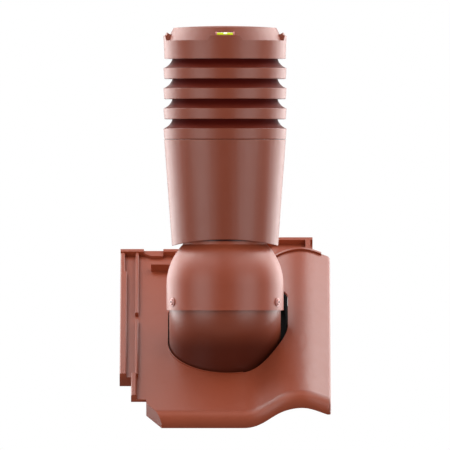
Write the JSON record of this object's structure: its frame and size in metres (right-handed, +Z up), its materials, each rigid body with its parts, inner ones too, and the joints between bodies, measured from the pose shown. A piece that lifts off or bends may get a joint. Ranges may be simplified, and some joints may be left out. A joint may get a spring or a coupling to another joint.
{
  "type": "roof tile vent",
  "caption": "Interlocking roof tile with a tilting vent pipe: a hooded ball neck, a tapered sleeve, a louvred head and a cap with a bubble level.",
  "frame": {"origin": "centre of the duct spigot's mouth, under the roof", "axes": "+Z up along the plumb pipe, the roof falls 30 degrees towards -Y, +X to the right as seen from the eaves"},
  "size_m": [0.2916, 0.4053, 0.5551],
  "materials": {
    "tile_plastic": "satin, lightly grained moulded plastic",
    "stack_plastic": "satin moulded plastic",
    "screw_cap_plastic": "satin moulded plastic",
    "seal_rubber": "matt black",
    "pipe_plastic": "satin dark grey pipe",
    "insulation_foam": "matt grey closed-cell foam",
    "screw_steel": "zinc-plated",
    "vial_clear": "clear acrylic",
    "level_fluid": "clear yellow-green liquid",
    "level_end": "glossy pale red plastic"
  },
  "bodies": {
    "roof_base": {"tile_plate": "tile_plastic", "ball_neck": "stack_plastic", "neck_seal": "seal_rubber", "duct_adapter": "pipe_plastic", "adapter_seal": "seal_rubber", "neck_flange_screws": "screw_steel"},
    "vent_stack": {"hood": "stack_plastic", "hood_screws": "screw_cap_plastic", "hood_screw_washers": "screw_cap_plastic", "outer_sleeve": "stack_plastic", "inner_pipe": "pipe_plastic", "pipe_seal": "seal_rubber", "insulation": "insulation_foam", "lower_centring_ring": "pipe_plastic", "upper_centring_ring": "pipe_plastic", "louvre_cage": "stack_plastic", "louvre_ring_1": "stack_plastic", "louvre_ring_2": "stack_plastic", "louvre_ring_3": "stack_plastic", "louvre_ring_4": "stack_plastic", "cap": "stack_plastic", "level_vial": "vial_clear", "level_liquid": "level_fluid", "level_end_caps": "level_end"}
  },
  "joints": [
    {"name": "pitch_tilt", "type": "hinge", "parent": "roof_base", "child": "vent_stack", "pos_m": [0, -0.07, 0.12124], "axis": [1, 0, 0], "range_deg": [-15, 15]}
  ]
}
